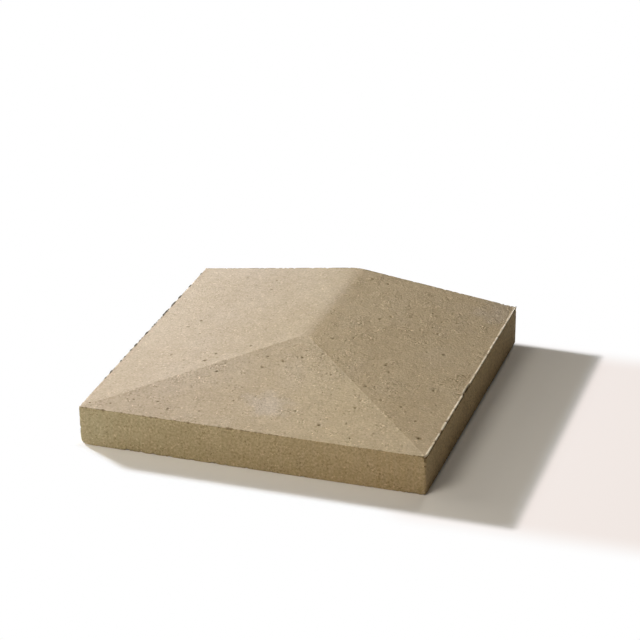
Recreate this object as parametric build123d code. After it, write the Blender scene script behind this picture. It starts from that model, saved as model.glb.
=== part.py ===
from build123d import *
import os

# Gabled wall coping end cap: the unit that closes one end of a gabled coping, cast in one piece.
# It stands as laid. X runs across the wall and +Z is up. The hipped end faces -Y, and the butt
# joint with the next coping stone faces +Y. The origin is on the bed, under the middle of the
# square plan. All sizes are in millimetres.

# Driving dimensions of the weathered block
width = 300.0  # across the wall, from face to face of the two overhangs
length = 300.0  # from the hipped end's face to the butt joint
eave_height = 35.0  # the upright edge on the two sides and on the hipped end
ridge_rise = 20.0  # from the eaves to the line where the two slopes would meet
hip_run = 150.0  # from the hipped end's face to where its slope would reach that line

# Rounds and arrises that the mould leaves
ridge_radius = 60.0
hip_radius = 15.0
end_corner_radius = 3.0  # the two upright corners of the hipped end
eave_arris_radius = 1.5
joint_arris_radius = 1.2  # round the face of the butt joint
bed_arris_radius = 1.0

# Drip: a half-round throat in the underside of the overhang, returned round the hipped end
drip_width = 10.0
drip_margin = 20.0  # from the outer face to the near side of the throat
drip_corner_radius = 12.0

# How far a shape that cuts or trims the block runs past it
spare = 20.0

half_width = width / 2
half_length = length / 2
side_slope = ridge_rise / half_width
end_slope = ridge_rise / hip_run


def gable_section():
    """The block seen along the wall, with both slopes carried on past the eaves."""
    outer = half_width + spare
    outer_height = eave_height - side_slope * spare
    outline = Polyline(
        (-outer, 0),
        (outer, 0),
        (outer, outer_height),
        (0, eave_height + ridge_rise),
        (-outer, outer_height),
        close=True,
    )
    section = make_face(outline)
    peak = section.vertices().sort_by(Axis.Y)[-1]
    return fillet(peak, ridge_radius)


def hipped_section():
    """The block seen across the wall: one slope that climbs from the hipped end."""
    outer = half_length + spare
    near_height = eave_height - end_slope * spare
    far_height = near_height + end_slope * 2 * outer
    outline = Polyline((-outer, 0), (outer, 0), (outer, far_height), (-outer, near_height), close=True)
    return make_face(outline)


def is_end_slope(face):
    """The hipped end's slope faces both up and towards -Y."""
    normal = face.normal_at()
    return normal.Z > abs(normal.Y) > abs(normal.X)


def weathering():
    """The three slopes that shed the rain, larger than the plan, with the hips rounded."""
    behind_block = Plane.XZ.offset(-half_length - spare)
    gable = extrude(behind_block * gable_section(), length + 2 * spare)
    hipped = extrude(Plane.YZ * hipped_section(), half_width + spare, both=True)
    roof = gable & hipped
    end_slope_edges = roof.faces().filter_by(is_end_slope)[0].edges()
    hips = end_slope_edges.filter_by_position(Axis.Z, eave_height, eave_height + ridge_rise)
    return fillet(hips, hip_radius)


def plan():
    """The square plan, with the hipped end's two corners rounded."""
    square = Rectangle(width, length)
    end_corners = square.vertices().sort_by(Axis.Y)[:2]
    return fillet(end_corners, end_corner_radius)


def ease_arrises(block):
    """Rounds the eaves, then the joint's face, then the bed."""
    tolerance = 0.5
    eaves = block.edges().filter_by_position(Axis.Z, eave_height - tolerance, eave_height + tolerance)
    block = fillet(eaves, eave_arris_radius)
    joint_arrises = block.edges().filter_by_position(Axis.Y, half_length - tolerance, half_length)
    above_bed = joint_arrises.filter_by_position(Axis.Z, tolerance, eave_height + ridge_rise)
    block = fillet(above_bed, joint_arris_radius)
    return fillet(block.edges().group_by(Axis.Z)[0], bed_arris_radius)


def drip():
    """The throat's round section, swept up one side, round the hipped end and down the other."""
    inset = drip_margin + drip_width / 2
    across = half_width - inset
    turn = inset - half_length
    run_out = half_length + spare
    route = FilletPolyline(
        (-across, run_out),
        (-across, turn),
        (across, turn),
        (across, run_out),
        radius=drip_corner_radius,
    )
    start = Plane((-across, run_out, 0), z_dir=(0, -1, 0))
    return sweep(start * Circle(drip_width / 2), path=route)


def coping_end_cap():
    """The finished unit: the weathered block, its arrises eased, and the drip cut in its bed."""
    block = weathering() & extrude(plan(), eave_height + ridge_rise)
    return ease_arrises(block) - drip()


os.makedirs("parts", exist_ok=True)
export_step(coping_end_cap(), "parts/coping_end_cap.step")
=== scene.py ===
import math
from types import SimpleNamespace

import bpy
import numpy as np
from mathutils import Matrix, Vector, noise
from mathutils.geometry import delaunay_2d_cdt
from mathutils.kdtree import KDTree

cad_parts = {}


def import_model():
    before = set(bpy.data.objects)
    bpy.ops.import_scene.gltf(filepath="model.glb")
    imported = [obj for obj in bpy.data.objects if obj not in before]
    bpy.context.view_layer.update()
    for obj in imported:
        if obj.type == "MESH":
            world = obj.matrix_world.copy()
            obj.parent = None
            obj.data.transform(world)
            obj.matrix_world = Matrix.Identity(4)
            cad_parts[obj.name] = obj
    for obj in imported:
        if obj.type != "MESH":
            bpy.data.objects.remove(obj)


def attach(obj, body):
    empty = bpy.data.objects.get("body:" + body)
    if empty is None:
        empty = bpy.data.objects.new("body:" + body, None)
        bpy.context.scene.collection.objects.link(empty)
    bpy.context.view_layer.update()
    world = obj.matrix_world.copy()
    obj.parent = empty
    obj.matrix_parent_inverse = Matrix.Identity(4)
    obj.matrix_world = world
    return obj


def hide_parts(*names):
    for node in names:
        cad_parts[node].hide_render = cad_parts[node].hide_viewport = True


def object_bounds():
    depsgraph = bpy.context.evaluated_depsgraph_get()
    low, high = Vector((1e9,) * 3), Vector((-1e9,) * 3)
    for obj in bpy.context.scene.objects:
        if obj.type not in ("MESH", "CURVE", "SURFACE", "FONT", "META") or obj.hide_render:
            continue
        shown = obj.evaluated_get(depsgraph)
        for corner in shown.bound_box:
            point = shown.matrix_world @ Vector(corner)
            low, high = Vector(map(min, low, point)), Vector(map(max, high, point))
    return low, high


# A gabled wall coping end cap of pressed buff concrete, on a white studio floor.
# The stone's mesh is worked out in millimetres, in the frame's own axes, and scaled to metres last.
MM = 0.001
NODE = "coping_end_cap"
SEED = 11

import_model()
cad_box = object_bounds()
LOW, HIGH = (np.array(corner) / MM for corner in cad_box)

# The form, as the construction has it
HALF_WIDTH = (HIGH[0] - LOW[0]) / 2
HALF_LENGTH = (HIGH[1] - LOW[1]) / 2
EAVE_HEIGHT = 35.0
RIDGE_RISE = 20.0
SLOPE = RIDGE_RISE / HALF_WIDTH
TILT = math.atan(SLOPE)
RIDGE_RADIUS = 60.0
HIP_BLEND = 0.08  # height over which one slope turns into the next at a hip
DRIP_RADIUS = 5.0
DRIP_INSET = 25.0  # from the outer faces to the middle of the throat
DRIP_CORNER = 12.0
DRIP_LIP = 0.6

# Arrises. All are smaller than the depth of the core, from which every surface point is cast outwards.
CORE_DEPTH = 6.0
EAVE_ARRIS = 0.3
BED_ARRIS = 0.6
LEFT_CORNER = 0.5  # the two upright corners of the hipped end
RIGHT_CORNER = 1.8
END_CORNER_REACH = 5.0
WORN_CORNER = (-150.0, -150.0, 0.0)  # the bed's left-hand corner at the hipped end
WORN_RADIUS = 3.4
WORN_REACH = 5.0

# The burrs that the mould left along the eaves. The right-hand one overhangs the face below.
BURR_HEIGHT = 1.0
BURR_WIDTHS = (1.5, 1.9)  # from the left and the right eave to the foot of the burr's inner side
BURR_WALL = 0.8  # how much of that width the inner side takes
BURR_ARRIS = 0.2
BURR_OVERHANG = 0.35
OVERHANG_START = 0.9  # below the eave, from where the overhang grows
OVERHANG_GROWTH = 0.7
SCRAPS_START = -115.0  # along the wall, nearer than which the left-hand eave has none
SCRAPS_GROWTH = 25

# How much of the right-hand burr is left, and of the left-hand one's scraps: the mean, and the strength,
# wavelength and offset of each noise in it
BURR_MEAN = 0.75
BURR_WAVES = (0.5, 23.0, 4.2), (0.9, 6.0, 9.1)
SCRAPS_MEAN = 0.25
SCRAPS_WAVES = (0.5, 31.0, 2.6), (2.2, 3.8, 6.4)

# Spacing of the mesh
TOP_SPACING = 1.9
FACE_SPACING = 1.9
BED_SPACING = 5.0
ARRIS_SPACING = 1.0
BED_ARRIS_SPACING = 1.8
ARRIS_ROWS = (0.25, 0.6, 1.0, 1.3, 1.5, 2.0, 2.7, 3.5)
BED_ARRIS_ROWS = (0.5, 1.1, 2.2)
HIP_SPACING = 1.5
HIP_ROWS = (-2.2, -1.1, -0.4, 0.0, 0.4, 1.1, 2.2)
DRIP_ROWS = (-6.2, -5.3, -4.9, -4.3, -3.2, -1.6, 0.0, 1.6, 3.2, 4.3, 4.9, 5.3, 6.2)
DRIP_POINTS = 40, 9, 100  # along half of the hipped end, round a corner and along a leg
JITTER = 0.22  # how far points inside a face stray, as a share of their spacing
HALVINGS = 20  # in the search for each ray's length

X, Y, LEVEL = 0, 1, 2
SLAB_LOW = np.array([-HALF_WIDTH, -HALF_LENGTH, 0.0])
SLAB_HIGH = np.array([HALF_WIDTH, HALF_LENGTH, EAVE_HEIGHT])

# Pores large enough to be told apart: place in plan, radius
LARGE_PORES = (
    (-143, -142, 0.95),
    (-126, -139, 0.85),
    (-109, -129, 0.9),
    (-73, -56, 1.5),
    (-68, -42, 1.2),
    (-56, -73, 1.05),
    (-108, 28, 1.0),
    (-42, -25, 1.2),
    (-21, -41, 0.9),
    (-20, -58, 1.05),
    (-6, -45, 1.05),
    (8, -36, 0.85),
    (19, 134, 1.0),
    (34, 132, 0.9),
    (40, -55, 1.0),
    (48, 62, 0.95),
    (73, -63, 1.1),
    (83, -29, 1.0),
    (53, -128, 1.3),
    (74, -97, 1.1),
    (91, -79, 0.95),
    (116, 26, 1.4),
    (137, -124, 1.5),
    (140.4, -2, 0.95),
    (143.6, -12, 0.95),
)

# Nicks in the hipped end's upper and lower arrises: how far across, and the bite's radius
END_NICKS = (
    (-147.0, 0.8),
    (-143.5, 0.9),
    (-134.0, 0.9),
    (-128.6, 1.4),
    (-112.0, 1.0),
    (-92.5, 1.0),
    (-86.0, 1.3),
    (-81.3, 1.2),
    (-64.6, 0.9),
    (-52.5, 1.2),
    (-18.0, 1.5),
    (-15.5, 1.5),
    (-6.5, 1.1),
    (-3.0, 1.0),
    (6.0, 1.1),
    (10.4, 1.0),
    (17.5, 1.1),
    (23.7, 1.0),
    (139.5, 1.0),
    (144.8, 1.0),
)
END_CHIPS = (
    (-108.0, 1.7),
    (-95.6, 1.3),
    (-85.0, 1.1),
    (-70.3, 1.3),
    (-50.3, 1.2),
    (-30.3, 1.3),
    (-3.2, 1.2),
    (133.5, 1.0),
    (137.9, 1.1),
    (141.3, 1.0),
)

# Damage along the right-hand eave: how far along the wall, and the bite's radius
EAVE_NICKS = (
    (-122.0, 1.0),
    (-103.0, 1.2),
    (-86.0, 1.6),
    (-62.0, 0.9),
    (5.0, 0.9),
    (26.0, 0.9),
    (46.0, 1.0),
    (66.0, 0.9),
    (84.0, 1.2),
    (112.0, 1.0),
)

# Stretch of the right-hand eave that has broken away, how deep, and the crack at its near end
SPALL = (-35.0, -13.5)
SPALL_DEPTH = 1.1
SPALL_START = 3.0  # below the eave, from where it deepens
SPALL_GROWTH = 2.5
CRACK_LENGTH = 6.0
CRACK_PLACE = SPALL[0] - 0.9
CRACK_STRAY = 0.5
CRACK_STEP = 0.7  # between the bites that it is made of
CRACK_RADIUS = 1.1  # at the eave
CRACK_TAPER = 0.1

# The broken corner of that eave and the hipped end: each bite's place from the corner, and its radius
CORNER_CHIP = (
    ((-0.6, 0.6, -1.2), 2.2),
    ((-0.3, 0.2, -4.0), 1.7),
    ((-2.4, 0.2, -0.6), 1.4),
    ((-0.2, 2.6, 0.0), 1.2),
)

# Small bites at random along every arris: its fixed axes and their ends, the axis along it, how far apart
# the bites are, and their largest radius
ARRIS_RUNS = (
    ({Y: -HALF_LENGTH, LEVEL: EAVE_HEIGHT}, X, 5.5, 0.8),
    ({X: -HALF_WIDTH, LEVEL: EAVE_HEIGHT}, Y, 4.0, 1.1),
    ({Y: HALF_LENGTH, LEVEL: EAVE_HEIGHT}, X, 6.0, 1.3),
    ({X: HALF_WIDTH, LEVEL: EAVE_HEIGHT}, Y, 12.0, 0.7),
    ({Y: -HALF_LENGTH, LEVEL: 0.0}, X, 9.0, 1.3),
    ({X: -HALF_WIDTH, LEVEL: 0.0}, Y, 9.0, 1.4),
    ({Y: HALF_LENGTH, LEVEL: 0.0}, X, 9.0, 1.4),
    ({X: HALF_WIDTH, LEVEL: 0.0}, Y, 9.0, 1.2),
    ({X: -HALF_WIDTH, Y: -HALF_LENGTH}, LEVEL, 6.0, 1.4),
    ({X: HALF_WIDTH, Y: -HALF_LENGTH}, LEVEL, 8.0, 1.2),
    ({X: -HALF_WIDTH, Y: HALF_LENGTH}, LEVEL, 7.0, 1.3),
    ({X: HALF_WIDTH, Y: HALF_LENGTH}, LEVEL, 7.0, 1.3),
)
SMALLEST_BITE = 0.45

# Random pores on each open face: its fixed axis and end, how many, their radii, and how much they crowd
PORE_FIELDS = (
    (LEVEL, EAVE_HEIGHT, 50, (0.7, 1.0), 0.95),
    (LEVEL, EAVE_HEIGHT, 220, (0.45, 0.7), 0.90),
    (Y, -HALF_LENGTH, 40, (0.4, 0.75), 0.0),
    (Y, HALF_LENGTH, 60, (0.4, 1.1), 0.0),
    (X, -HALF_WIDTH, 40, (0.35, 0.9), 0.0),
    (X, HALF_WIDTH, 30, (0.35, 0.7), 0.0),
)
PORE_MARGIN = 5.0  # from the edges of the face
TWIN_PORE = 0.6  # radius above which a pore has a second one beside it

# Rings of points round a pore's middle: how far out as a share of its radius, and how many points
WIDE_PORE = 0.75  # radius above which a pore has the wider set
WIDE_PORE_RINGS = ((0.55, 6), (0.95, 9), (1.2, 9))
PORE_RINGS = ((0.6, 5), (1.1, 7))


def smooth_step(value):
    """0 below 0, 1 above 1, and a smooth rise between."""
    share = np.clip(value, 0.0, 1.0)
    return share * share * (3 - 2 * share)


def smooth_min(a, b, reach):
    """The lower of two values, blended where they are within reach of each other."""
    share = np.maximum(reach - np.abs(a - b), 0.0) / reach
    return np.minimum(a, b) - share * share * reach / 4


def smooth_max(a, b, reach):
    return -smooth_min(-a, -b, reach)


def noise_at(points, wavelength, offset=0.0):
    """Smooth noise of about -1 to 1 at each point, with features about one wavelength apart."""
    return np.array([noise.noise(p) for p in (points / wavelength + offset).tolist()])


def roof_height(x, y):
    """Height of the weathered top: two slopes under a rounded ridge, and the hipped end's slope."""
    centre = EAVE_HEIGHT + RIDGE_RISE - RIDGE_RADIUS / math.cos(TILT)
    across = np.abs(x)
    round_reach = RIDGE_RADIUS * math.sin(TILT)
    arc = centre + np.sqrt(RIDGE_RADIUS**2 - np.minimum(across, round_reach) ** 2)
    line = EAVE_HEIGHT + RIDGE_RISE - SLOPE * across
    gable = np.where(across < round_reach, arc, line)
    hipped = EAVE_HEIGHT + SLOPE * (y + HALF_LENGTH)
    return smooth_min(gable, hipped, HIP_BLEND)


def drip_offset(x, y):
    """Distance in plan from the middle line of the drip, which turns a round corner at the hipped end."""
    past_x = np.abs(x) - (HALF_WIDTH - DRIP_INSET - DRIP_CORNER)
    past_y = -y - (HALF_LENGTH - DRIP_INSET - DRIP_CORNER)
    outside_corner = np.hypot(np.maximum(past_x, 0), np.maximum(past_y, 0))
    inside_corner = np.minimum(np.maximum(past_x, past_y), 0)
    return np.abs(outside_corner + inside_corner - DRIP_CORNER)


def lift(points):
    """Turns levels on the plain slab into heights in the stone. Bands near bed and top keep their depth."""
    share = (points[:, LEVEL] - CORE_DEPTH) / (EAVE_HEIGHT - 2 * CORE_DEPTH)
    extra = roof_height(points[:, X], points[:, Y]) - EAVE_HEIGHT
    lifted = points.copy()
    lifted[:, LEVEL] += extra * np.clip(share, 0, 1)
    return lifted


def stations(axis, spacing):
    """Evenly spaced places along one axis of the slab."""
    count = round((SLAB_HIGH[axis] - SLAB_LOW[axis]) / spacing) + 1
    return np.linspace(SLAB_LOW[axis], SLAB_HIGH[axis], count)


def arris_rows(fixed, fixed_end, across, along):
    """Rows of points on one face of the slab, beside its two edges that run along one axis."""
    found = []
    for across_end in (SLAB_LOW[across], SLAB_HIGH[across]):
        at_bed = (fixed == LEVEL and fixed_end == 0) or (across == LEVEL and across_end == 0)
        places = stations(along, BED_ARRIS_SPACING if at_bed else ARRIS_SPACING)
        inward = 1 if across_end == SLAB_LOW[across] else -1
        for offset in (0.0, *(BED_ARRIS_ROWS if at_bed else ARRIS_ROWS)):
            low, high = SLAB_LOW[along] + offset, SLAB_HIGH[along] - offset
            inner = places[(places > low + ARRIS_SPACING / 3) & (places < high - ARRIS_SPACING / 3)]
            row = np.concatenate([[low], inner, [high]])
            points = np.empty((len(row), 3))
            points[:, fixed] = fixed_end
            points[:, across] = across_end + inward * offset
            points[:, along] = row
            found.append(points)
    return np.concatenate(found)


def fill(fixed, fixed_end, axes, spacing, margin, rng):
    """Jittered points over one face of the slab, in staggered rows inside a margin."""
    a, b = axes
    low, high = SLAB_LOW + margin, SLAB_HIGH - margin
    row_gap = spacing * math.sqrt(3) / 2
    u = np.linspace(low[a], high[a], round((high[a] - low[a]) / spacing) + 1)
    v = np.linspace(low[b], high[b], round((high[b] - low[b]) / row_gap) + 1)
    grid_u, grid_v = np.meshgrid(u, v)
    grid_u[1::2] += spacing / 2
    points = np.empty((grid_u.size, 3))
    points[:, a], points[:, b] = grid_u.ravel(), grid_v.ravel()
    points[:, [a, b]] += rng.uniform(-JITTER, JITTER, (len(points), 2)) * spacing
    points[:, fixed] = fixed_end
    kept = np.all((points[:, [a, b]] >= low[[a, b]]) & (points[:, [a, b]] <= high[[a, b]]), axis=1)
    return points[kept]


def triangulate(points, axes, outward):
    """Delaunay triangles of the points of one face, turned to face outwards."""
    flat = np.unique(np.round(points[:, axes], 4), axis=0)
    coords, _, triangles, *_ = delaunay_2d_cdt([Vector(p) for p in flat.tolist()], [], [], 0, 1e-5, False)
    placed = np.empty((len(coords), 3))
    placed[:, axes] = np.array([tuple(c) for c in coords])
    fixed = 3 - sum(axes)
    placed[:, fixed] = points[0, fixed]
    triangles = np.array(triangles)
    handed = 1 if (axes[1] - axes[0]) % 3 == 1 else -1
    return placed, triangles if handed * outward > 0 else triangles[:, ::-1]


def pore_rings(at, radius, axes):
    """Points that let a pore keep its round rim and its bowl: one in the middle and rings round it."""
    found = [at[None]]
    for share, count in WIDE_PORE_RINGS if radius > WIDE_PORE else PORE_RINGS:
        turn = np.arange(count) * 2 * math.pi / count + share
        ring = np.tile(at, (count, 1))
        ring[:, axes[0]] += radius * share * np.cos(turn)
        ring[:, axes[1]] += radius * share * np.sin(turn)
        found.append(ring)
    return np.concatenate(found)


def drip_rows():
    """Points on the bed that follow the drip's middle line, walls and lips round its two corners."""
    turn_x = HALF_WIDTH - DRIP_INSET - DRIP_CORNER
    turn_y = -(HALF_LENGTH - DRIP_INSET - DRIP_CORNER)
    end_points, bend_points, leg_points = DRIP_POINTS
    found = []
    for side in DRIP_ROWS:
        radius = DRIP_CORNER + side
        bend = np.linspace(0, math.pi / 2, bend_points)
        corner = np.stack([turn_x + radius * np.sin(bend), turn_y - radius * np.cos(bend)], axis=1)
        run = np.linspace(turn_y, HALF_LENGTH - CORE_DEPTH, leg_points)[1:]
        leg = np.stack([np.full(len(run), turn_x + radius), run], axis=1)
        end = np.linspace(0, turn_x, end_points)[:-1]
        end_leg = np.stack([end, np.full(len(end), turn_y - radius)], axis=1)
        half = np.concatenate([end_leg, corner, leg])
        found.append(half)
        found.append(half[half[:, X] > 0] * (-1, 1))
    flat = np.concatenate(found)
    return np.column_stack([flat, np.zeros(len(flat))])


def hip_rows():
    """Points on the top along and beside both hips, so that they stay crisp."""
    reach = HALF_WIDTH - 2 * ARRIS_ROWS[-1]
    step = HIP_SPACING / math.sqrt(2)
    run = np.arange(step, reach, step)
    found = []
    for side in HIP_ROWS:
        shift = side / math.sqrt(2)
        line = np.column_stack([run + shift, -run + shift, np.full(len(run), EAVE_HEIGHT)])
        found += [line, line * (-1, 1, 1)]
    points = np.concatenate(found)
    clear = np.hypot(points[:, X], points[:, Y]) > 3 * HIP_SPACING
    return points[clear]


def hip_gap(points):
    """Distance in plan from the nearer hip."""
    return np.abs(np.abs(points[:, X]) + points[:, Y]) / math.sqrt(2)


FACES = (
    # fixed axis, its end, the two axes in the face, spacing
    (LEVEL, EAVE_HEIGHT, (X, Y), TOP_SPACING),
    (LEVEL, 0.0, (X, Y), BED_SPACING),
    (X, -HALF_WIDTH, (Y, LEVEL), FACE_SPACING),
    (X, HALF_WIDTH, (Y, LEVEL), FACE_SPACING),
    (Y, -HALF_LENGTH, (LEVEL, X), FACE_SPACING),
    (Y, HALF_LENGTH, (LEVEL, X), FACE_SPACING),
)


def slab_mesh(pores, rng):
    """Points and triangles all over a plain slab, closer together at arrises, pores and the drip."""
    all_points, all_triangles, total = [], [], 0
    for fixed, end, axes, spacing in FACES:
        on_bed = fixed == LEVEL and end == 0.0
        on_top = fixed == LEVEL and end > 0.0
        margin = (BED_ARRIS_ROWS if on_bed else ARRIS_ROWS)[-1] + spacing * 0.6
        inner = fill(fixed, end, axes, spacing, margin, rng)
        extra = [drip_rows()] if on_bed else [hip_rows()] if on_top else []
        if on_top:
            inner = inner[(hip_gap(inner) > HIP_ROWS[-1] + spacing / 2) | (inner[:, Y] > 0)]
        for at, radius in pores:
            if at[fixed] != end:
                continue
            rings = pore_rings(at, radius, axes)
            flat = rings[:, axes]
            if np.all((flat > SLAB_LOW[[*axes]] + margin) & (flat < SLAB_HIGH[[*axes]] - margin)):
                gap = np.hypot(*(inner[:, axes] - at[[*axes]]).T)
                inner = inner[gap > radius * 1.2 + spacing * 0.3]
                extra.append(rings)
        if on_bed:
            inner = inner[drip_offset(inner[:, X], inner[:, Y]) > DRIP_RADIUS + 3]
        edges = [arris_rows(fixed, end, axes[0], axes[1]), arris_rows(fixed, end, axes[1], axes[0])]
        points = np.concatenate([inner, *extra, *edges])
        placed, triangles = triangulate(points, list(axes), 1 if end > 0 else -1)
        all_points.append(placed)
        all_triangles.append(triangles + total)
        total += len(placed)
    shared, index = np.unique(np.round(np.concatenate(all_points), 3), axis=0, return_inverse=True)
    return shared, index.ravel()[np.concatenate(all_triangles)]


def waves_at(points, mean, waves):
    """A mean value with several noises added to it at each point."""
    total = mean
    for strength, wavelength, offset in waves:
        total = total + strength * noise_at(points, wavelength, offset)
    return total


def burr_size(x, y):
    """How much of the burr is left at each place, from 0 to 1: most on the right, scraps on the left."""
    along = np.column_stack([y, np.zeros(len(y)), np.zeros(len(y))])
    size = waves_at(along, BURR_MEAN, BURR_WAVES)
    for place, radius in (*EAVE_NICKS, (SPALL[0] - 0.6, 0.8), (SPALL[1] + 0.4, 0.5)):
        size = np.minimum(size, smooth_step((np.abs(y - place) - radius * 0.6) / radius))
    scraps = waves_at(along, SCRAPS_MEAN, SCRAPS_WAVES)
    scraps *= smooth_step((y - SCRAPS_START) / SCRAPS_GROWTH)
    return np.clip(np.where(x > 0, size, scraps), 0.0, 1.0)


def spall_depth(x, y):
    """How far the right-hand eave is set back."""
    middle, half = (SPALL[0] + SPALL[1]) / 2, (SPALL[1] - SPALL[0]) / 2
    return SPALL_DEPTH * smooth_step(half - np.abs(y - middle)) * (x > 0)


def arris_radius(slab):
    """Radius of the nearest arris for each slab point: worn corners at the hipped end, sharper elsewhere."""
    height_share = smooth_step(slab[:, LEVEL] / EAVE_HEIGHT)
    radius = BED_ARRIS + (EAVE_ARRIS - BED_ARRIS) * height_share
    near_burr = smooth_step((slab[:, X] - HALF_WIDTH + CORE_DEPTH) / 3) * height_share
    radius += (BURR_ARRIS - radius) * near_burr
    corner_gap = np.hypot(HALF_WIDTH - np.abs(slab[:, X]), HALF_LENGTH + slab[:, Y])
    corner = np.where(slab[:, X] < 0, LEFT_CORNER, RIGHT_CORNER)
    radius += (corner - EAVE_ARRIS) * np.exp(-((corner_gap / END_CORNER_REACH) ** 2))
    worn_gap = np.linalg.norm(slab - WORN_CORNER, axis=1)
    return radius + (WORN_RADIUS - radius) * np.exp(-((worn_gap / WORN_REACH) ** 2))


def outside(points, radius, burr):
    """Distance outside the stone, negative inside: planes with rounded arrises, less the drip."""
    x, y, z = points.T
    width = np.where(x < 0, *BURR_WIDTHS)
    set_back = spall_depth(x, y)
    past_foot = np.abs(x) - HALF_WIDTH + set_back + width
    raised = BURR_HEIGHT * burr * smooth_step(past_foot / (width * BURR_WALL))
    above = (z - roof_height(x, y) - raised) * math.cos(TILT)
    lip = BURR_OVERHANG * burr * smooth_step((z - EAVE_HEIGHT + OVERHANG_START) / OVERHANG_GROWTH)
    broken = set_back * smooth_step((z - EAVE_HEIGHT + SPALL_START) / SPALL_GROWTH)
    right = x - (HALF_WIDTH - BURR_OVERHANG) - lip + broken
    planes = np.stack([right, -x - HALF_WIDTH, np.abs(y) - HALF_LENGTH, above, -z])
    over = np.maximum(planes + radius, 0)
    block = np.sqrt((over**2).sum(0)) - radius
    drip = DRIP_RADIUS - np.hypot(drip_offset(x, y), z)
    return smooth_max(block, drip, DRIP_LIP)


def cast(slab):
    """Each slab point's ray from the stone's core: its origin, direction and length inside the stone."""
    core = lift(np.clip(slab, SLAB_LOW + CORE_DEPTH, SLAB_HIGH - CORE_DEPTH))
    direction = lift(slab) - core
    reach = np.linalg.norm(direction, axis=1)
    direction /= reach[:, None]
    radius = arris_radius(slab)
    burr = burr_size(slab[:, X], slab[:, Y])
    near, far = np.zeros(len(slab)), reach + 2.0
    for _ in range(HALVINGS):
        middle = (near + far) / 2
        is_out = outside(core + direction * middle[:, None], radius, burr) > 0
        far = np.where(is_out, middle, far)
        near = np.where(is_out, near, middle)
    return core, direction, near


def on_left_slope(points):
    return (points[:, X] < 0) & (points[:, Y] > points[:, X])


def crowding(points):
    """How thickly pores and coarse grains crowd at each place, from 0 to 1. The left slope is smoother."""
    clusters = noise_at(points, 10.0, 5.1) + 0.5 * noise_at(points, 45.0, 1.3)
    return smooth_step((clusters - 0.1) / 0.4) * np.where(on_left_slope(points), 0.45, 1.0)


def scatter(fixed, end, count, radii, patchy, rng):
    """Random pores over one face of the slab: (slab point, radius). Patchy ones crowd into clusters."""
    smallest, largest = radii
    pores = []
    while len(pores) < count:
        at = rng.uniform(SLAB_LOW + PORE_MARGIN, SLAB_HIGH - PORE_MARGIN)
        at[fixed] = end
        evenly = 0.4 if on_left_slope(at[None])[0] else 1
        chance = (1 - patchy) * evenly + patchy * crowding(at[None])[0]
        radius = float(smallest + (largest - smallest) * rng.random() ** 2)
        if rng.random() < chance:
            pores.append((at, radius))
    return pores


def make_pores(rng):
    """All pores on the open faces, each as (slab point, radius)."""
    pores = [(np.array([x, y, EAVE_HEIGHT]), radius) for x, y, radius in LARGE_PORES]
    for field in PORE_FIELDS:
        pores += scatter(*field, rng)
    return pores


def arris_bites(rng):
    """Small bites out of the arrises, each as (slab point, sphere radius, how far its middle stands out)."""
    bites = []
    for ends, along, spacing, largest in ARRIS_RUNS:
        span = SLAB_HIGH[along] - SLAB_LOW[along]
        for _ in range(round(span / spacing)):
            at = rng.uniform(SLAB_LOW, SLAB_HIGH)
            for axis, end in ends.items():
                at[axis] = end + (1 if end <= 0 else -1) * rng.uniform(0, 0.7)
            size = SMALLEST_BITE + (largest - SMALLEST_BITE) * rng.random() ** 2
            bites.append((at, size, size * rng.uniform(0.0, 0.4)))
    return bites


def arris_damage(rng):
    """Nicks in the hipped end's arrises and the right-hand eave, the crack, and the broken corner."""
    bites = []
    for height, nicks in ((EAVE_HEIGHT, END_NICKS), (0.0, END_CHIPS)):
        for place, radius in nicks:
            bites.append((np.array([place, -HALF_LENGTH, height]), radius, 0.0))
            bites.append((np.array([place + radius * 1.1, -HALF_LENGTH, height]), radius * 0.6, 0.0))
    for place, radius in EAVE_NICKS:
        at = np.array([HALF_WIDTH, place, EAVE_HEIGHT])
        bites.append((at, radius, radius * 0.25))
        bites.append((at + (-0.4, radius * 0.9, 0), radius * 0.7, radius * 0.2))
    for inward in np.arange(0.5, CRACK_LENGTH, CRACK_STEP):
        crack = np.array([HALF_WIDTH - inward, CRACK_PLACE - rng.uniform(0.0, CRACK_STRAY), EAVE_HEIGHT])
        bites.append((crack, CRACK_RADIUS - CRACK_TAPER * inward, 0.0))
    corner = np.array([HALF_WIDTH, -HALF_LENGTH, EAVE_HEIGHT])
    for shift, size in CORNER_CHIP:
        bites.append((corner + shift, size, size * 0.3))
    return bites


def pore_bites(pores, rng):
    """One sphere for each pore, and a second beside it for the larger ones, so that few are quite round."""
    bites = []
    for at, radius in pores:
        bites.append((at, radius * 1.05, radius * 0.1))
        if radius > TWIN_PORE:
            beside = at.copy()
            axes = [axis for axis in (X, Y, LEVEL) if abs(at[axis]) not in (HALF_WIDTH, EAVE_HEIGHT)]
            turn = rng.uniform(0, 2 * math.pi)
            beside[axes[:2]] += radius * 0.7 * np.array([math.cos(turn), math.sin(turn)])[: len(axes)]
            bites.append((beside, radius * 0.65, radius * 0.2))
    return bites


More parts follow.
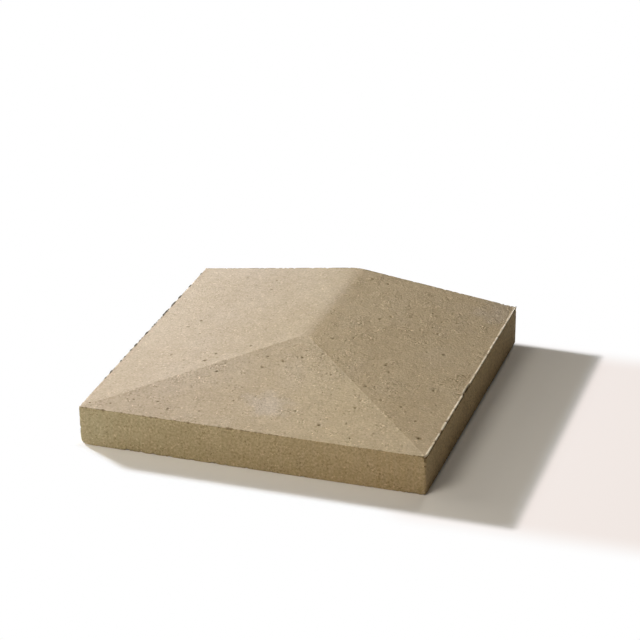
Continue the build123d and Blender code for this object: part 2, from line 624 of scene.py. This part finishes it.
def take_bites(core, direction, reach, bites):
    """Shortens each ray that ends inside a bite's sphere to where it enters that sphere."""
    slab = np.array([at for at, _, _ in bites])
    size = np.array([radius for _, radius, _ in bites])
    rise = np.array([stands_out for _, _, stands_out in bites])
    bite_core, bite_direction, bite_reach = cast(slab)
    centres = bite_core + bite_direction * (bite_reach + rise)[:, None]
    surface = core + direction * reach[:, None]
    tree = KDTree(len(surface))
    for index, point in enumerate(surface.tolist()):
        tree.insert(point, index)
    tree.balance()
    bitten = reach.copy()
    for centre, radius in zip(centres, size):
        near = [index for _, index, _ in tree.find_range(centre.tolist(), radius)]
        if not near:
            continue
        start = core[near] - centre
        along = (start * direction[near]).sum(1)
        inside_root = along**2 - (start**2).sum(1) + radius**2
        entry = -along - np.sqrt(np.maximum(inside_root, 0))
        bitten[near] = np.minimum(bitten[near], np.maximum(entry, 0.5))
    return bitten


def unevenness(slab, surface):
    """How far the surface sinks below its true planes, from the mould and from wear."""
    on_top = smooth_step(slab[:, LEVEL] - EAVE_HEIGHT + 1)
    broad = 0.5 + 0.5 * noise_at(surface, 45.0)
    middling = 0.5 + 0.5 * noise_at(surface, 14.0, 3.7)
    fine = 0.5 + 0.5 * noise_at(surface, 4.5, 8.3)
    return (0.16 - 0.06 * on_top) * broad + (0.05 - 0.01 * on_top) * middling + 0.03 * fine


def arris_share(slab):
    """1 on the arrises of the stone, falling to 0 some way in."""
    gaps = np.sort(np.minimum(slab - SLAB_LOW, SLAB_HIGH - slab), axis=1)
    return np.exp(-((gaps[:, 1] / 1.6) ** 2))


def burr_share(surface):
    """1 on a burr where it is whole, falling to 0 beside and below it. Less than 0 on the left-hand one."""
    x = surface[:, X]
    width = np.where(x < 0, *BURR_WIDTHS) + spall_depth(x, surface[:, Y])
    beside = smooth_step((np.abs(x) - HALF_WIDTH + width - 0.2) / 0.4)
    above = smooth_step((surface[:, LEVEL] - EAVE_HEIGHT + 0.5) / 0.5)
    return beside * above * burr_size(x, surface[:, Y]) * np.sign(x)


def write_values(mesh, name, values):
    """Stores one number for each point of the mesh, for the material to read."""
    layer = mesh.attributes.new(name, "FLOAT", "POINT")
    layer.data.foreach_set("value", values.astype(np.float32))


def stone():
    """The coping stone as one closed mesh."""
    rng = np.random.default_rng(SEED)
    pores = make_pores(rng)
    slab, triangles = slab_mesh(pores, rng)
    core, direction, reach = cast(slab)
    bites = pore_bites(pores, rng) + arris_bites(rng) + arris_damage(rng)
    bitten = take_bites(core, direction, reach, bites)
    surface = core + direction * reach[:, None]
    sunk = bitten - unevenness(slab, surface)
    points = np.clip(core + direction * sunk[:, None], LOW, HIGH)

    mesh = bpy.data.meshes.new("coping_stone")
    mesh.from_pydata((points * MM).tolist(), [], triangles.tolist())
    mesh.update()
    mesh.polygons.foreach_set("use_smooth", [True] * len(mesh.polygons))
    write_values(mesh, "pore", np.clip((reach - bitten) / 0.4, 0, 1))
    write_values(mesh, "arris", arris_share(slab))
    write_values(mesh, "crowd", crowding(surface))
    write_values(mesh, "burr", burr_share(surface))
    upright = (slab[:, LEVEL] < EAVE_HEIGHT) & (slab[:, LEVEL] > 0)
    write_values(mesh, "upright", upright.astype(float))
    made = bpy.data.objects.new("coping_stone", mesh)
    bpy.context.scene.collection.objects.link(made)
    print("stone", len(mesh.vertices), "points", len(mesh.polygons), "triangles", len(bites), "bites")
    return made


def put(tree, kind, inputs=(), **settings):
    """Adds a shader node. Inputs maps each socket's name or number to a value or another node's output."""
    made = tree.nodes.new("ShaderNode" + kind)
    for name, value in settings.items():
        setattr(made, name, value)
    for name, value in dict(inputs).items():
        if isinstance(value, bpy.types.NodeSocket):
            tree.links.new(value, made.inputs[name])
        else:
            made.inputs[name].default_value = value
    return made


def maths(tree, operation, a, b=0.0, c=0.0):
    return put(tree, "Math", {0: a, 1: b, 2: c}, operation=operation).outputs[0]


def grade(tree, value, from_low, from_high, to_low=0.0, to_high=1.0, kind="SMOOTHSTEP"):
    """Maps one range of a value onto another, and holds it there."""
    ends = {"Value": value, 1: from_low, 2: from_high, 3: to_low, 4: to_high}
    return put(tree, "MapRange", ends, interpolation_type=kind).outputs[0]


def blend(tree, share, a, b, kind="MIX"):
    """Mixes two colours."""
    return put(tree, "Mix", {0: share, 6: a, 7: b}, data_type="RGBA", blend_type=kind).outputs[2]


def noise_of(tree, place, size_mm, detail=2.0, rough=0.5):
    """Noise with features of one size, centred on 0.5."""
    inputs = {"Vector": place, "Scale": 1 / size_mm, "Detail": detail, "Roughness": rough}
    return put(tree, "TexNoise", inputs).outputs["Fac"]


def grains_of(tree, place, size_mm):
    """Cells of one size, such as grains of sand: how far from a cell's middle, and the cell's numbers."""
    cells = put(tree, "TexVoronoi", {"Vector": place, "Scale": 1 / size_mm}).outputs
    return cells["Distance"], put(tree, "SeparateColor", {0: cells["Color"]}).outputs


def value_of(tree, name):
    """A number stored on the mesh."""
    return put(tree, "Attribute", attribute_name=name).outputs["Fac"]


def product(tree, first, *others):
    """Multiplies values together."""
    for other in others:
        first = maths(tree, "MULTIPLY", first, other)
    return first


def scaled(tree, value, share, factor):
    """The value, times the factor where the share is 1."""
    return product(tree, value, grade(tree, share, 0, 1, 1.0, factor, "LINEAR"))


def gap_to(tree, across, patch):
    """Distance from an oval patch's middle, as a share of the way to its edge."""
    squares = 0.0
    for axis, (middle, half) in zip((X, Y), patch):
        share = maths(tree, "DIVIDE", maths(tree, "SUBTRACT", across[axis], middle), half)
        squares = maths(tree, "MULTIPLY_ADD", share, share, squares)
    return maths(tree, "SQRT", squares)


# Sizes of the concrete's features, and of the gaps and ragged edges in its marks
PATCH_SIZE = 55
GREY_CLOUD_SIZE = 32
RAGGED_SIZE = 14
CLOUD_SIZE = 9
STREAK_SIZE = 3.5
STREAK_SQUEEZE = (1.0, 1.0, 0.12)  # draws the streaks out upright
SAND_SIZE = 1.2
FINE_SIZE = 2.0
SPECK_SIZE = 2.6
COARSE_SIZE = 1.9
LIP_GAP_SIZE = 7.0
DIRT_SIZE = 6.0
GRIT_SIZE = 2.2
SWELL_SIZE = 4.0

# Relief, before the bump's own strength
BUMP_STRENGTH = 0.8
SWELL_HEIGHT = 0.07
SPECK_HEIGHT = -0.60
COARSE_HEIGHT = 0.45

# How pale each kind of mark is, as a share of the stone round it
# Specks and pores are darker inside, partly dirt and partly painted shade
SPECK_SHADE = 0.76
PORE_SHADE = 0.62
ARRIS_SHADE = 1.05
# Painted shade under the right-hand eave's lip
UNDER_LIP_SHADE = 0.35
FAR_DIRT_SHADE = 0.60
# Painted shade in the crack, and a painted highlight on its far lip
CRACK_SHADE = 0.60
CRACK_LIP_HIGHLIGHT = 1.30

# Powers of the shade that make dark spots warmer than the rest, and pale ones greyer
RED_POWER = 0.90
BLUE_POWER = 1.20
ROUGHNESS = (0.82, 0.95)
SPECULAR = 0.3

# Colours of the concrete, in linear light. Each side of the top goes between two.
TOP_LEFT = (0.603, 0.484, 0.343, 1), (0.626, 0.507, 0.368, 1)
TOP_RIGHT = (0.603, 0.477, 0.300, 1), (0.625, 0.500, 0.320, 1)
GREY_CLOUD = (0.625, 0.515, 0.390, 1)
RIGHT_SLOPE_TINT = (1.015, 1.0, 0.985, 1)
FRONT_LEFT = (0.530, 0.450, 0.268, 1)
FRONT_RIGHT = (0.553, 0.414, 0.227, 1)
STREAK = (0.575, 0.449, 0.273, 1)
# Painted light: the right-hand face is paler, standing in for light bounced onto it from the floor
RIGHT_FACE_LIT = (0.643, 0.484, 0.266, 1)
# A painted highlight on the right-hand burr, where it catches the light
BURR_HIGHLIGHT = (0.84, 0.74, 0.57, 1)
# Painted shade on the left-hand burr's scraps
SHADED_BURR = (0.22, 0.195, 0.155, 1)

# Greyer clouds on the top: middle and half width along X and along Y, how strong, and the colour
PALE_PATCHES = (
    (((0.0, 26.0), (-109.0, 22.0)), 0.75, (0.655, 0.550, 0.430, 1)),
    (((138.0, 24.0), (126.0, 34.0)), 0.80, (0.600, 0.485, 0.345, 1)),
)


def surface_values(tree):
    """The values that the stone's looks are worked out from. Places and distances are in millimetres."""
    at = SimpleNamespace()
    metres = put(tree, "TexCoord").outputs["Object"]
    at.place = put(tree, "VectorMath", {0: metres, "Scale": 1 / MM}, operation="SCALE").outputs["Vector"]
    at.across = put(tree, "SeparateXYZ", {0: at.place}).outputs
    at.upright = value_of(tree, "upright")
    at.pore = value_of(tree, "pore")
    at.arris = value_of(tree, "arris")
    at.crowd = value_of(tree, "crowd")
    at.burr = value_of(tree, "burr")
    at.from_hip = maths(tree, "ADD", maths(tree, "ABSOLUTE", at.across[X]), at.across[Y])
    at.on_hipped_end = grade(tree, at.from_hip, -0.4, 0.2, 1.0, 0.0)
    at.on_right_face = grade(tree, at.across[X], HALF_WIDTH - 2, HALF_WIDTH - 1)
    off_bed = grade(tree, at.across[LEVEL], EAVE_HEIGHT - 10, EAVE_HEIGHT - 5)
    at.on_top = product(tree, off_bed, maths(tree, "SUBTRACT", 1.0, at.upright))
    return at


def top_colour(tree, at):
    """Broad patches, pinker to the left and more olive to the right, most of all on the right-hand slope."""
    right_half = grade(tree, at.across[X], -6, 8)
    right_slope = product(tree, right_half, grade(tree, at.from_hip, -0.4, 0.2), at.on_top)
    drift = grade(tree, at.across[X], -90, 60, 0.0, 1.0, "LINEAR")
    drift = maths(tree, "MAXIMUM", drift, right_slope)
    patches = grade(tree, noise_of(tree, at.place, PATCH_SIZE, 3.0, 0.55), 0.38, 0.62)
    colour = blend(tree, drift, blend(tree, patches, *TOP_LEFT), blend(tree, patches, *TOP_RIGHT))
    grey = grade(tree, noise_of(tree, at.place, GREY_CLOUD_SIZE), 0.50, 0.66, 0.0, 0.12)
    colour = blend(tree, grey, colour, GREY_CLOUD)
    colour = blend(tree, right_slope, colour, RIGHT_SLOPE_TINT, "MULTIPLY")
    ragged = maths(tree, "MULTIPLY_ADD", noise_of(tree, at.place, RAGGED_SIZE, 3.0), 1.6, -0.8)
    for patch, most, tone in PALE_PATCHES:
        from_patch = maths(tree, "ADD", gap_to(tree, at.across, patch), ragged)
        share = product(tree, grade(tree, from_patch, 0.2, 1.0, most, 0.0), at.on_top)
        colour = blend(tree, share, colour, tone)
    return colour


def side_colour(tree, at):
    """The upright faces, with faint upright streaks. The hipped end is warmer to the right; the right-hand
    face is paler with painted light.
    """
    along_front = grade(tree, at.across[X], -HALF_WIDTH, HALF_WIDTH - 40, 0.0, 1.0, "LINEAR")
    colour = blend(tree, along_front, FRONT_LEFT, FRONT_RIGHT)
    squeezed = put(tree, "Mapping", {0: at.place, 3: STREAK_SQUEEZE}).outputs[0]
    streaks = grade(tree, noise_of(tree, squeezed, STREAK_SIZE), 0.35, 0.65, 0.0, 0.3)
    colour = blend(tree, streaks, colour, STREAK)
    return blend(tree, at.on_right_face, colour, RIGHT_FACE_LIT)


def sand(tree, at):
    """Middling clouds with sand over them: how pale each place is, and each grain's own number."""
    clouds = grade(tree, noise_of(tree, at.place, CLOUD_SIZE), 0.3, 0.7, 0.93, 1.03, "LINEAR")
    depth = grade(tree, at.upright, 0.0, 1.0, 0.72, 1.30, "LINEAR")
    depth = maths(tree, "MULTIPLY_ADD", at.crowd, 0.7, depth)
    fine = maths(tree, "SUBTRACT", noise_of(tree, at.place, FINE_SIZE, 3.0, 0.65), 0.5)
    sandy = maths(tree, "MULTIPLY_ADD", fine, depth, 1.0)
    _, own = grains_of(tree, at.place, SAND_SIZE)
    dark_grain = grade(tree, own[1], 0.975, 0.985, 1.0, 0.78)
    pale_grain = grade(tree, own[2], 0.965, 0.98, 1.0, 1.26)
    return product(tree, clouds, sandy, dark_grain, pale_grain), own[0]


def spots(tree, at, size_mm, crowd_gain):
    """1 on scattered round spots, with more and larger ones where pores crowd together."""
    from_middle, own = grains_of(tree, at.place, size_mm)
    share = maths(tree, "MULTIPLY_ADD", at.crowd, crowd_gain, own[0])
    size = grade(tree, share, 0.75, 1.25, 0.0, 0.36, "LINEAR")
    return grade(tree, maths(tree, "SUBTRACT", from_middle, size), -0.12, 0.02, 1.0, 0.0)


def under_lip(tree, at):
    """1 on a broken line of painted shade under the right-hand eave's lip, which is whole near the hipped
    end.
    """
    line = maths(tree, "COMPARE", at.across[LEVEL], EAVE_HEIGHT - 1.2, 1.1)
    nearer = grade(tree, at.across[Y], 15, -15, 0.4, 1.0)
    whole = grade(tree, at.across[Y], -130, -105, 1.0, 0.0)
    broken = grade(tree, noise_of(tree, at.place, LIP_GAP_SIZE, 1.0), 0.33, 0.45)
    return product(tree, line, at.on_right_face, nearer, maths(tree, "MAXIMUM", whole, broken))


def far_dirt(tree, at):
    """1 where the far arris is dirty."""
    far_arris = grade(tree, at.across[Y], HALF_LENGTH - 2.0, HALF_LENGTH - 1.0)
    dirt = grade(tree, noise_of(tree, at.place, DIRT_SIZE, 1.0), 0.38, 0.56, 0.3, 1.0)
    return product(tree, far_arris, at.on_top, dirt)


def crack_marks(tree, at):
    """1 on the crack that runs in from the right-hand eave, for painted shade, and 1 on its far lip, for a
    painted highlight.
    """
    past_crack = maths(tree, "SUBTRACT", at.across[Y], SPALL[0] - 0.4)
    along = grade(tree, at.across[X], HALF_WIDTH - CRACK_LENGTH - 2, HALF_WIDTH - CRACK_LENGTH)
    along = product(tree, along, grade(tree, at.across[LEVEL], EAVE_HEIGHT - 1, EAVE_HEIGHT))
    crack = product(tree, along, maths(tree, "COMPARE", past_crack, -0.6, 0.7))
    lip = product(tree, along, maths(tree, "COMPARE", past_crack, 0.9, 0.7))
    return crack, lip


def hip_shading(tree, at):
    """How much paler than the rest the top is near the hips, less than 0 where darker; by the left hip,
    painted light and shade.
    """
    # The hipped end is a little paler to the right, most of all along that hip
    paler = grade(tree, at.across[X], -HALF_WIDTH, HALF_WIDTH, -0.025, 0.055, "LINEAR")
    hip_line = grade(tree, at.from_hip, -2.6, -1.8, 0.0, 0.06)
    hip_line = product(tree, hip_line, grade(tree, at.across[X], -4.0, 4.0))
    paler = product(tree, at.on_hipped_end, maths(tree, "ADD", paler, hip_line))

    # Beside the left-hand hip, painted shade below and painted light above, more so towards the apex
    beside_hip = grade(tree, maths(tree, "ABSOLUTE", at.from_hip), 0.0, 22.0, 0.055, 0.0)
    to_apex = grade(tree, at.across[X], -115.0, -30.0, 0.1, 1.0)
    left_half = grade(tree, at.across[X], -4.0, 4.0, 1.0, 0.0)
    beside_hip = product(tree, beside_hip, to_apex, left_half)
    downhill = maths(tree, "MULTIPLY_ADD", at.on_hipped_end, -2.0, 1.0)
    paler = maths(tree, "MULTIPLY_ADD", beside_hip, downhill, paler)
    return product(tree, paler, at.on_top)


def relief(tree, at, speck, proud):
    """Bumps: the sand's grains, soft unevenness, the fine pores and the coarser grains."""
    grit = noise_of(tree, at.place, GRIT_SIZE, 3.0, 0.7)
    swell = noise_of(tree, at.place, SWELL_SIZE)
    grit_height = grade(tree, at.crowd, 0.0, 1.0, 0.80, 1.40, "LINEAR")
    grit_height = scaled(tree, grit_height, at.upright, 0.8)
    height = maths(tree, "MULTIPLY_ADD", grit, grit_height, product(tree, swell, SWELL_HEIGHT))
    height = maths(tree, "MULTIPLY_ADD", speck, SPECK_HEIGHT, height)
    height = maths(tree, "MULTIPLY_ADD", proud, COARSE_HEIGHT, height)
    return put(tree, "Bump", {"Strength": BUMP_STRENGTH, "Distance": MM, "Height": height}).outputs[0]


def concrete():
    """Pressed buff concrete: mottled and sandy, with grains, fine pores and darker upright faces."""
    material = bpy.data.materials.new("pressed_concrete")
    material.use_nodes = True
    tree = material.node_tree
    at = surface_values(tree)
    colour = blend(tree, at.upright, top_colour(tree, at), side_colour(tree, at))

    # Pores too fine for the mesh, darker with dirt and painted shade, and coarser grains that stand a little
    # proud
    speck = spots(tree, at, SPECK_SIZE, 0.35)
    proud = spots(tree, at, COARSE_SIZE, 0.30)
    shade, grain = sand(tree, at)
    # Specks and the mesh's pores are darkened with dirt and painted shade
    shade = scaled(tree, shade, speck, SPECK_SHADE)
    shade = scaled(tree, shade, at.pore, PORE_SHADE)
    proud_gain = grade(tree, at.upright, 0, 1, 0.65, 0.35, "LINEAR")
    shade = product(tree, shade, maths(tree, "MULTIPLY_ADD", proud, proud_gain, 1.0))

    # Worn, dirty and broken places, with painted shade under the lip and in the crack
    crack, crack_lip_highlight = crack_marks(tree, at)
    shade = scaled(tree, shade, at.arris, ARRIS_SHADE)
    # Painted shade under the right-hand eave's lip
    shade = scaled(tree, shade, under_lip(tree, at), UNDER_LIP_SHADE)
    shade = scaled(tree, shade, far_dirt(tree, at), FAR_DIRT_SHADE)
    shade = scaled(tree, shade, crack, CRACK_SHADE)
    # A painted highlight on the crack's far lip
    shade = scaled(tree, shade, crack_lip_highlight, CRACK_LIP_HIGHLIGHT)
    shade = maths(tree, "MULTIPLY_ADD", shade, hip_shading(tree, at), shade)

    red = maths(tree, "POWER", shade, RED_POWER)
    blue = maths(tree, "POWER", shade, BLUE_POWER)
    tint = put(tree, "CombineColor", {0: red, 1: shade, 2: blue}).outputs[0]
    colour = blend(tree, 1.0, colour, tint, "MULTIPLY")
    # A painted highlight on the right-hand burr
    colour = blend(tree, grade(tree, at.burr, 0.1, 0.7), colour, BURR_HIGHLIGHT)
    # Painted shade on the left-hand burr's scraps
    colour = blend(tree, grade(tree, at.burr, -0.05, -0.40), colour, SHADED_BURR)

    surface = tree.nodes["Principled BSDF"]
    tree.links.new(colour, surface.inputs["Base Color"])
    tree.links.new(relief(tree, at, speck, proud), surface.inputs["Normal"])
    tree.links.new(grade(tree, grain, 0.0, 1.0, *ROUGHNESS, "LINEAR"), surface.inputs["Roughness"])
    surface.inputs["Specular IOR Level"].default_value = SPECULAR
    return material


# Stretches of the floor along X and Y, in metres, and how far past them each one fades out
SHADED = (-0.15, 0.226), (-0.177, 0.141)
SHADED_FADE = 0.010
# Painted dimmer light on the floor beside the shadow, in place of the lamps' weaker light there
DIM = (0.15, 0.33), (-0.165, 0.12)
DIM_FADE = 0.04
# Where the shadow's slanting side leaves the stone, and how far it goes along X for each step to the viewer
SLANT_START = (-0.152, -0.150)
SLANT = 56 / 30.4
FLOOR_REACH = 7.0
FLOOR_LEVEL = -0.0001
LIT_FLOOR = (0.98, 0.97, 0.95, 1)
DIM_WHITE = (1.0, 0.91, 0.867, 1)
WHITE = (1, 1, 1, 1)


def past(tree, across, stretch):
    """Distance on the floor from a rectangle."""
    squares = 0.0
    for axis, (low, high) in zip((X, Y), stretch):
        from_middle = maths(tree, "ABSOLUTE", maths(tree, "SUBTRACT", across[axis], (low + high) / 2))
        over = maths(tree, "MAXIMUM", maths(tree, "SUBTRACT", from_middle, (high - low) / 2), 0.0)
        squares = maths(tree, "MULTIPLY_ADD", over, over, squares)
    return maths(tree, "SQRT", squares)


def floor():
    """A white floor that keeps the stone's shadow, has painted dimmer light beside it, and is plain white
    elsewhere.
    """
    material = bpy.data.materials.new("white_floor")
    material.use_nodes = True
    tree = material.node_tree
    tree.nodes.clear()
    place = put(tree, "TexCoord").outputs["Object"]
    across = put(tree, "SeparateXYZ", {0: place}).outputs
    beside = maths(tree, "SUBTRACT", SLANT_START[X], across[X])
    below_start = maths(tree, "SUBTRACT", SLANT_START[Y], across[Y])
    past_slant = maths(tree, "MULTIPLY_ADD", below_start, SLANT, beside)
    past_shade = maths(tree, "MAXIMUM", past(tree, across, SHADED), past_slant)
    # A little painted white lightens the shadow, and beside it the camera sees painted dimmer light
    out_of_shade = grade(tree, past_shade, 0.0, SHADED_FADE, 0.03, 1.0)
    out_of_dim = grade(tree, past(tree, across, DIM), 0.0, DIM_FADE)
    whiteness = grade(tree, out_of_dim, 0.0, 1.0, 0.75, 1.0, "LINEAR")
    seen = put(tree, "LightPath").outputs["Is Camera Ray"]
    share = product(tree, out_of_shade, whiteness, seen)
    lit = put(tree, "BsdfDiffuse", {"Color": LIT_FLOOR}).outputs[0]
    plain_colour = blend(tree, out_of_dim, DIM_WHITE, WHITE)
    plain = put(tree, "Emission", {"Color": plain_colour, "Strength": 1.0}).outputs[0]
    mixed = put(tree, "MixShader", {0: share, 1: lit, 2: plain}).outputs[0]
    output = put(tree, "OutputMaterial", {"Surface": mixed})
    output.is_active_output = True
    mesh = bpy.data.meshes.new("floor")
    ends = (-1, -1), (1, -1), (1, 1), (-1, 1)
    corners = [(x * FLOOR_REACH, y * FLOOR_REACH, FLOOR_LEVEL) for x, y in ends]
    mesh.from_pydata(corners, [], [(0, 1, 2, 3)])
    mesh.materials.append(material)
    made = bpy.data.objects.new("floor", mesh)
    bpy.context.scene.collection.objects.link(made)


AIM = Vector((0, 0, 0.02))
WARM = (1.083, 1.0, 0.868)
COOL = (0.923, 1.0, 1.14)


def lamp(name, place, size, power, colour):
    """A round soft box aimed at the stone."""
    light = bpy.data.lights.new(name, "AREA")
    light.shape = "DISK"
    light.size = size
    light.energy = power
    light.color = colour
    made = bpy.data.objects.new(name, light)
    bpy.context.scene.collection.objects.link(made)
    made.location = place
    made.rotation_euler = (AIM - made.location).to_track_quat("-Z", "Y").to_euler()
    made.visible_camera = False


def world():
    """Plain white where the camera sees it, and no light from it."""
    made = bpy.data.worlds.new("world")
    bpy.context.scene.world = made
    made.use_nodes = True
    background = made.node_tree.nodes["Background"]
    seen = put(made.node_tree, "LightPath").outputs["Is Camera Ray"]
    made.node_tree.links.new(seen, background.inputs["Strength"])
    background.inputs["Color"].default_value = WHITE


# The camera, fitted to the stone's outlines: lens in millimetres, place in metres and turn in degrees
LENS = 132.85
CAMERA_PLACE = (0.59063, -1.74832, 0.92342)
CAMERA_TURN = (65.1319, 0.4419, 18.1027)


def camera():
    """The photograph's view."""
    lens = bpy.data.cameras.new("camera")
    lens.lens = LENS
    made = bpy.data.objects.new("camera", lens)
    bpy.context.scene.collection.objects.link(made)
    made.location = CAMERA_PLACE
    made.rotation_euler = [math.radians(degrees) for degrees in CAMERA_TURN]
    bpy.context.scene.camera = made


piece = stone()
piece.data.materials.append(concrete())
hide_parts(NODE)
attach(piece, "root")

floor()
camera()
world()
lamp("key", (-0.877, 0.246, 0.491), 0.13, 9.2, COOL)
lamp("fill", (-0.25, -0.68, 0.80), 0.47, 3.62, WARM)
lamp("back", (0.04, 2.85, 3.55), 0.46, 22.3, WARM)
lamp("side", (-3.28, 0.03, 2.11), 2.0, 21.3, WARM)
bpy.context.scene.view_settings.view_transform = "Standard"
